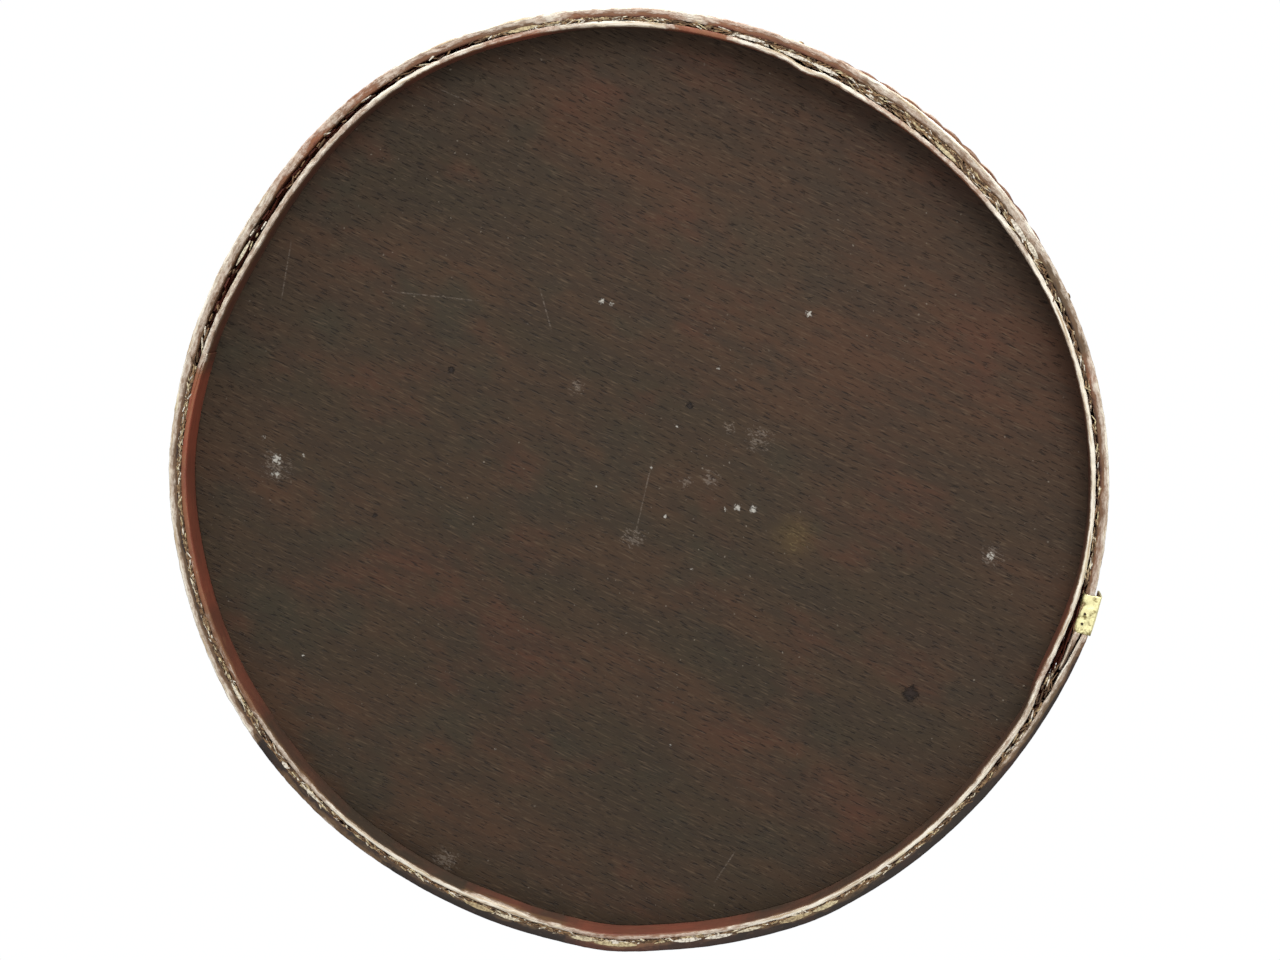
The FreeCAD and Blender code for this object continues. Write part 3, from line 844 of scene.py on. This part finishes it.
# direction in degrees, length and width in mm, tint, place across the gap from 0 outside to 1 inside
SPLINTERS = (
    (95, 12, 1.8, 0.55, 0.25), (91, 10, 1.3, 0.80, 0.35), (81, 11, 1.7, 0.75, 0.30), (77, 17, 2.0, 0.60, 0.10),
    (77, 11, 1.1, 0.90, 0.45), (68, 11, 1.5, 0.95, 0.30), (64, 11, 1.4, 0.95, 0.25), (60, 10, 1.1, 0.80, 0.45),
    (54, 13, 1.8, 0.55, 0.25), (50, 11, 1.7, 0.70, 0.20), (126, 4, 1.4, 0.90, 0.40),
    (-164, 11, 1.1, 0.80, 0.50), (121, 11, 1.1, 0.85, 0.50), (137, 10, 1.1, 0.85, 0.50),
    (-80, 11, 1.3, 0.90, 0.60), (-84, 12, 1.3, 0.90, 0.60), (-90, 12, 1.3, 0.95, 0.60),
    (-49, 10, 1.8, 0.90, 0.40), (-46, 8, 1.8, 0.85, 0.30), (-62, 11, 1.5, 0.70, 0.70),
    (-118, 11, 1.4, 0.60, 0.50))


def tapered_bit(steps, taper):
    """A bit of strip of unit size about the origin, thinner towards its ends."""
    bit = straight_strip(1.0, 1.0, 1.0, steps, 0.0)
    cap_ends(bit)
    bmesh.ops.translate(bit, verts=bit.verts[:], vec=(-0.5, -0.5, -0.5))
    for vert in bit.verts:
        thinner = 1 - taper * vert.co.x ** 2
        vert.co.y *= thinner
        vert.co.z *= thinner
    bit.verts.layers.float.new("tint")
    return bit


# %% Scatter the crumbs
def crumbs(count):
    """The crumbs and splinters in one mesh. The random draws keep their order, so they fall the same."""
    pick = random.Random(11)
    whole = bmesh.new()
    crumb, splinter = tapered_bit(2, 1.6), tapered_bit(10, 3.2)

    def lay(bit, angle, length, width, low_z, deep, tint, place_across, lean):
        """One bit of fibre, in the gap at its own direction."""
        tint_layer = bit.verts.layers.float["tint"]
        for vert in bit.verts:
            vert[tint_layer] = tint
        gap = TIGHT_GAP + sprung(angle)
        radius = body_outer_r + TUCKED - (gap + TUCKED) * place_across + out_of_round(angle)
        place = (Matrix.Rotation(angle, 4, "Z") @ Matrix.Translation((radius, 0, low_z + 0.5 * deep))
                 @ Matrix.Rotation(lean[0], 4, "X") @ Matrix.Rotation(lean[1] + math.pi / 2, 4, "Z")
                 @ Matrix.Diagonal((length, width, deep, 1)))
        mesh = bpy.data.meshes.new("crumb")
        bit.to_mesh(mesh)
        mesh.transform(place)
        whole.from_mesh(mesh)
        bpy.data.meshes.remove(mesh)

    for _ in range(count):
        angle = pick.uniform(-math.pi, math.pi)
        amount, = stretch_at(CRUMB_STRETCHES, angle)
        if pick.random() > amount:
            continue
        deep = pick.uniform(0.6, 2.6) * MM
        tint = pick.random() ** 1.3 * (1 if deep < 1.6 * MM else 0.5)
        lay(crumb, angle, pick.uniform(1.2, 5.0) * MM, pick.uniform(0.25, 0.6) * MM, foot_low_z, deep, tint,
            pick.uniform(0.12, 0.88), (pick.uniform(-0.2, 0.2), pick.gauss(0, 0.3)))
    for degrees, length, width, tint, place_across in SPLINTERS:
        lay(splinter, math.radians(degrees), length * MM, width * MM, 0.1 * MM, 0.8 * MM, tint,
            place_across, (0.0, 0.0))
    crumb.free()
    splinter.free()
    for vert in whole.verts:
        vert.co += noise.noise_vector(vert.co * 1100.0) * 0.16 * MM
        vert.co.z = max(vert.co.z, 0.15 * MM)
    return whole


finished(crumbs(CRUMBS), "foot_weave_crumbs", "bare_fibre", "body", ["body_weave"],
         smooth=False)

# %% [markdown]
# ## Turning the boards
#
# Each board is a disc with eased edges. It starts as a circle, is extruded to its thickness, and its
# two rims are bevelled. The rim follows the out-of-round wall, because the wall was pulled tight
# round the board, not the other way about.

# %% Turn the boards
def turned_board(radius, low_z, high_z):
    """A disc with eased rims that follows the wall out of round."""
    bm = bmesh.new()
    bmesh.ops.create_circle(bm, cap_ends=True, segments=256, radius=radius)
    bmesh.ops.translate(bm, verts=bm.verts[:], vec=(0, 0, low_z))
    made = bmesh.ops.extrude_face_region(bm, geom=bm.faces[:], use_keep_orig=True)
    top = [v for v in made["geom"] if isinstance(v, bmesh.types.BMVert)]
    bmesh.ops.translate(bm, verts=top, vec=(0, 0, high_z - low_z))
    bmesh.ops.recalc_face_normals(bm, faces=bm.faces[:])
    rims = [e for e in bm.edges if abs(e.verts[0].co.z - e.verts[1].co.z) < 0.1 * MM]
    bmesh.ops.bevel(bm, geom=rims, offset=0.9 * MM, segments=3, profile=0.5, affect="EDGES", material=-1)
    for vert in bm.verts:
        angle = math.atan2(vert.co.y, vert.co.x)
        vert.co += point_at(angle, 1, 0) * (out_of_round(angle) - 0.1 * MM)
    return bm


for node, finish, body in (("bottom_board", "underside_board", "body"),
                           ("lid_board", "lid_face_board", "lid")):
    finished(turned_board(outer_radius(node), *levels(node)), node + "_turned", finish,
             body, [node], smooth=False)

# %% [markdown]
# ## Folding the clips
#
# Each clip is a strap of thin sheet brass folded over a hoop's edge to hold its joint. Its path is
# drawn as a few points in profile, the two folds are rounded with a vertex bevel, the line is swept
# sideways into a sheet, and solidify gives the sheet its thickness. Hammering is noise on top: it
# dents the sheet and leaves its cut sides uneven. The foot's clip reaches over a standing-off tip.

# %% Fold the clips
CLIP_SHEET = 0.7 * MM
CLIP_STEPS = 24                 # pieces that the sheet is swept in
FOLD_R = 0.9 * MM


def folded_clip(inner_r, outer_r, edge_z, inward, width, outer_leg, inner_leg):
    """A clip over the edge at edge_z; its legs run inward, +1 for up and -1 for down."""
    bm = bmesh.new()
    half = CLIP_SHEET / 2
    out, back, web = outer_r + half, inner_r - half, edge_z + inward * half
    path = [(out, edge_z + inward * outer_leg), (out, web),
            (back, web), (back, edge_z + inward * inner_leg)]
    points = [bm.verts.new((x, -width / 2, z)) for x, z in path]
    for first, second in zip(points, points[1:]):
        bm.edges.new((first, second))
    bmesh.ops.bevel(bm, geom=points[1:3], offset=FOLD_R, segments=4, profile=0.5, affect="VERTICES",
                    material=-1)
    web_edge = [e for e in bm.edges if e.calc_length() > 2 * MM]
    bmesh.ops.subdivide_edges(bm, edges=web_edge, cuts=9)
    bmesh.ops.spin(bm, geom=bm.edges[:], cent=(0, 0, 0), axis=(1, 0, 0), dvec=(0, width / CLIP_STEPS, 0),
                   angle=0.0, steps=CLIP_STEPS, use_merge=False, use_duplicate=False)
    bmesh.ops.recalc_face_normals(bm, faces=bm.faces[:])
    bmesh.ops.solidify(bm, geom=bm.faces[:], thickness=CLIP_SHEET)
    bmesh.ops.recalc_face_normals(bm, faces=bm.faces[:])
    for vert in bm.verts:
        angle = vert.co.y / outer_r
        ragged = 1 + 0.06 * noise.noise(Vector((vert.co.x * 500, 0.5, vert.co.z * 300)))
        dent = 0.3 * MM * noise.noise(vert.co * 420.0) + 0.2 * MM * noise.noise(vert.co * 1100.0)
        radius = vert.co.x + out_of_round(angle) + 0.4 * dent
        angle *= ragged
        into = max(0.02 * MM, inward * (vert.co.z - edge_z) + 0.35 * MM + dent)
        vert.co = point_at(angle, radius, edge_z + inward * into)
    return bm


OUTER_LEG, INNER_LEG = levels("foot_hoop_clip")[1], 11 * MM
CLIP_WIDTH = 15.4 * MM
TIP_ROOM = 2.5 * MM             # how far the foot's clip reaches out over the standing-off tip
finished(folded_clip(body_outer_r, foot_r + TIP_ROOM, 0.0, 1, CLIP_WIDTH, OUTER_LEG, INNER_LEG),
         "foot_clip_folded", "clip_brass", "body", ["foot_hoop_clip"])
finished(folded_clip(lid_outer_r, lid_r, lid_top_z, -1, CLIP_WIDTH, OUTER_LEG, INNER_LEG),
         "lid_clip_folded", "clip_brass", "lid", ["lid_hoop_clip"])

# %% [markdown]
# ## Driving the tacks, nails and pins
#
# Small fixings are made once and set round the hoop: a shallow dome for a nail's head, a plain
# peg for a pin cut flush, and a tack set in the clip's fold. Each is made lying at the
# origin, then stood in its place with one matrix, so its own shape stays simple to read.

# %% Make a nail head and a peg
STOOD_ON_EDGE = Matrix.Rotation(math.pi / 2, 3, "Y")     # turns a shape made along Z to lie along X


def domed_head(radius, height):
    """A nail head: the outer half of a squashed ball, lying in the YZ plane and facing X."""
    bm = bmesh.new()
    bmesh.ops.create_uvsphere(bm, u_segments=16, v_segments=8, radius=radius)
    bmesh.ops.scale(bm, verts=bm.verts[:], vec=(1, 1, height / radius))
    bmesh.ops.rotate(bm, verts=bm.verts[:], cent=(0, 0, 0), matrix=STOOD_ON_EDGE)
    return bm


def flush_peg(radius, length):
    """A short peg along X with its outer end at the origin, its rim slightly eased."""
    bm = bmesh.new()
    bmesh.ops.create_cone(bm, cap_ends=True, segments=20, radius1=radius, radius2=radius, depth=length)
    rims = [e for e in bm.edges if abs(e.verts[0].co.z - e.verts[1].co.z) < 1e-7]
    bmesh.ops.bevel(bm, geom=rims, offset=0.15 * radius, segments=2, profile=0.5, affect="EDGES",
                    material=-1)
    bmesh.ops.rotate(bm, verts=bm.verts[:], cent=(0, 0, 0), matrix=STOOD_ON_EDGE)
    bmesh.ops.translate(bm, verts=bm.verts[:], vec=(-length / 2, 0, 0))
    return bm


# %% Drive the nails and pins
def set_round(single, count, start_degrees, radius, z):
    """Copies of one fixing, evenly round a hoop, each on the hoop's real surface."""
    whole = bmesh.new()
    mesh = as_mesh(single, "fixing")
    for index in range(count):
        angle = math.radians(start_degrees + index * 360.0 / count)
        place = Matrix.Rotation(angle, 4, "Z") @ Matrix.Translation((radius + out_of_round(angle), 0, z))
        bmesh.ops.transform(whole, matrix=place, verts=add_copy(whole, mesh))
    bpy.data.meshes.remove(mesh)
    return whole


def middle_z(node):
    return sum(levels(node)) / 2


FIXINGS = 8                     # nails or pins to a hoop
NAIL_R, NAIL_RISE = 1.3 * MM, 0.7 * MM
PIN_R, PIN_LENGTH, PIN_RISE = 1.2 * MM, 18 * MM, 0.12 * MM
for node, start, radius, body in (
        ("foot_hoop_nails", 6.0, foot_r, "body"), ("mouth_hoop_nails", 6.0, foot_r, "body"),
        ("lid_skirt_nails", 0.0, lid_r, "lid"), ("lid_top_hoop_nails", 20.0, lid_r, "lid")):
    finished(set_round(domed_head(NAIL_R, NAIL_RISE), FIXINGS, start, radius, middle_z(node)),
             node.replace("nails", "nail_heads"), "nail_brass", body, [node])
for node, start, radius, body in (
        ("bottom_board_pins", 20.0, foot_r, "body"), ("lid_board_pins", 35.0, lid_r, "lid")):
    finished(set_round(flush_peg(PIN_R, PIN_LENGTH), FIXINGS, start, radius + PIN_RISE, middle_z(node)),
             node + "_driven", "bare_fibre", body, [node])

# %% Drive the clip tacks
TACK_R, TACK_LENGTH = 0.5 * MM, 6 * MM
TACK_INSET = 0.85 * MM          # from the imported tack's outer side to its middle


def set_tacks(node, middle_r, edge_z, inward):
    """Two tacks through a clip's fold, standing in the hoop's edge."""
    whole = bmesh.new()
    low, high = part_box(node)
    mesh = as_mesh(flush_peg(TACK_R, TACK_LENGTH), "tack")
    for y in (low.y + TACK_INSET, high.y - TACK_INSET):
        place = (Matrix.Translation((middle_r + out_of_round(0.0), y, edge_z))
                 @ Matrix.Rotation(math.pi / 2 * inward, 4, "Y"))
        bmesh.ops.transform(whole, matrix=place, verts=add_copy(whole, mesh))
    bpy.data.meshes.remove(mesh)
    return whole


finished(set_tacks("foot_clip_tacks", (body_outer_r + foot_r) / 2, 0.0, 1), "foot_clip_tacks_driven",
         "tack_iron", "body", ["foot_clip_tacks"])
finished(set_tacks("lid_clip_tacks", (lid_outer_r + lid_r) / 2, lid_top_z, -1), "lid_clip_tacks_driven",
         "tack_iron", "lid", ["lid_clip_tacks"])

# %% [markdown]
# ## Setting up the studio
#
# The box is shown from below, so the camera stands under the floor and the floor has to let it see
# through: its shader is clear from behind and pale from the front, and it casts no shadow. A large
# soft lamp lights the underside from one side, and another lights the box from above for every other
# view. The white world is what shows behind the box.

# %% Lay the floor
FLOOR_REACH, FLOOR_DROP = 6.0, 0.2 * MM


def lay_floor():
    """A sheet just under the box that can only be seen from above."""
    bm = bmesh.new()
    bmesh.ops.create_grid(bm, x_segments=1, y_segments=1, size=FLOOR_REACH)
    bmesh.ops.translate(bm, verts=bm.verts[:], vec=(0, 0, -FLOOR_DROP))
    mesh = as_mesh(bm, "studio_floor")
    floor = placed("studio_floor", mesh)
    r = Recipe("pale_floor")
    tree = r.tree
    r.shader.inputs["Base Color"].default_value = (0.8, 0.8, 0.79, 1)
    r.shader.inputs["Roughness"].default_value = 0.9
    clear = r.node("BsdfTransparent")
    behind = r.node("NewGeometry").outputs["Backfacing"]
    both = r.node("MixShader", {0: behind, 1: r.shader.outputs[0], 2: clear.outputs[0]})
    tree.links.new(both.outputs[0], tree.nodes["Material Output"].inputs["Surface"])
    mesh.materials.append(r.material)
    floor.visible_shadow = False
    floor.visible_diffuse = False
    floor.visible_glossy = False
    floor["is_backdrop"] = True
    print("floor laid, reaching", FLOOR_REACH, "m each way")


lay_floor()

# %% Hang the lamps
LAMP_AIM = Vector((0, 0, 0.08))


def lamp(name, direction_degrees, elevation_degrees, distance, size, power):
    """A square soft lamp aimed at the box. A negative elevation puts it under the floor."""
    data = bpy.data.lights.new(name, "AREA")
    data.size = size
    data.energy = power
    light = placed(name, data)
    direction, up = math.radians(direction_degrees), math.radians(elevation_degrees)
    away = point_at(direction, math.cos(up), math.sin(up))
    light.location = LAMP_AIM + away * distance
    light.rotation_euler = (-away).to_track_quat("-Z", "Y").to_euler()
    light.visible_camera = False
    print(name, power, "W from", direction_degrees, "degrees round and", elevation_degrees, "up")


lamp("under_key", -80.0, -48.0, 1.4, 0.9, 12.0)
lamp("under_fill", 60.0, -70.0, 2.0, 1.6, 7.0)
lamp("under_rim", -112.0, -4.0, 1.6, 1.0, 40.0)
lamp("over_key", -125.0, 52.0, 2.0, 1.2, 34.0)
lamp("over_fill", 40.0, 40.0, 2.2, 1.6, 14.0)

# %% Fill the world with white
world = bpy.data.worlds.new("studio")
bpy.context.scene.world = world
world.use_nodes = True
tree = world.node_tree
paths = tree.nodes.new("ShaderNodeLightPath")
seen = tree.nodes.new("ShaderNodeBackground")
seen.inputs[0].default_value = (0.97, 0.98, 1.0, 1)
seen.inputs[1].default_value = 1.03
cast = tree.nodes["Background"]
cast.inputs[0].default_value = (1, 1, 1, 1)
cast.inputs[1].default_value = 0.45
both = tree.nodes.new("ShaderNodeMixShader")
tree.links.new(paths.outputs["Is Camera Ray"], both.inputs[0])
tree.links.new(cast.outputs[0], both.inputs[1])
tree.links.new(seen.outputs[0], both.inputs[2])
tree.links.new(both.outputs[0], tree.nodes["World Output"].inputs["Surface"])
bpy.context.scene.view_settings.view_transform = "Standard"
print("world:", round(cast.inputs[1].default_value, 2), "on the box")

# %% [markdown]
# The camera looks up at the underside from a metre away, tilted a little off the box's axis. Its
# three directions are worked out one from another, so that the picture stays upright: back, out of
# the box and towards the camera, across, to the right of the picture, and up.

# %% Stand the camera
FACE_RIGHT = math.radians(-15.5)      # the direction on the box that lies to the right of the picture
TILT = math.radians(9.0)
TILT_TOWARDS = math.radians(-62.5)
DISTANCE = 1.0
FOCAL = 73.85
AIM_RIGHT, AIM_UP = 3.82 * MM, 3.24 * MM
camera_data = bpy.data.cameras.new("camera")
camera_data.sensor_width = 36.0
camera_data.lens = FOCAL
camera = placed("camera", camera_data)
back = point_at(TILT_TOWARDS, math.sin(TILT), -math.cos(TILT))
across = point_at(FACE_RIGHT, 1, 0)
across = (across - back * across.dot(back)).normalized()
up = back.cross(across)
camera.matrix_world = Matrix((across, up, back)).transposed().to_4x4()
camera.location = back * DISTANCE + across * AIM_RIGHT + up * AIM_UP
bpy.context.scene.camera = camera
print("camera", [round(v, 3) for v in camera.location])

# %% Measure the box's sizes
low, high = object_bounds()
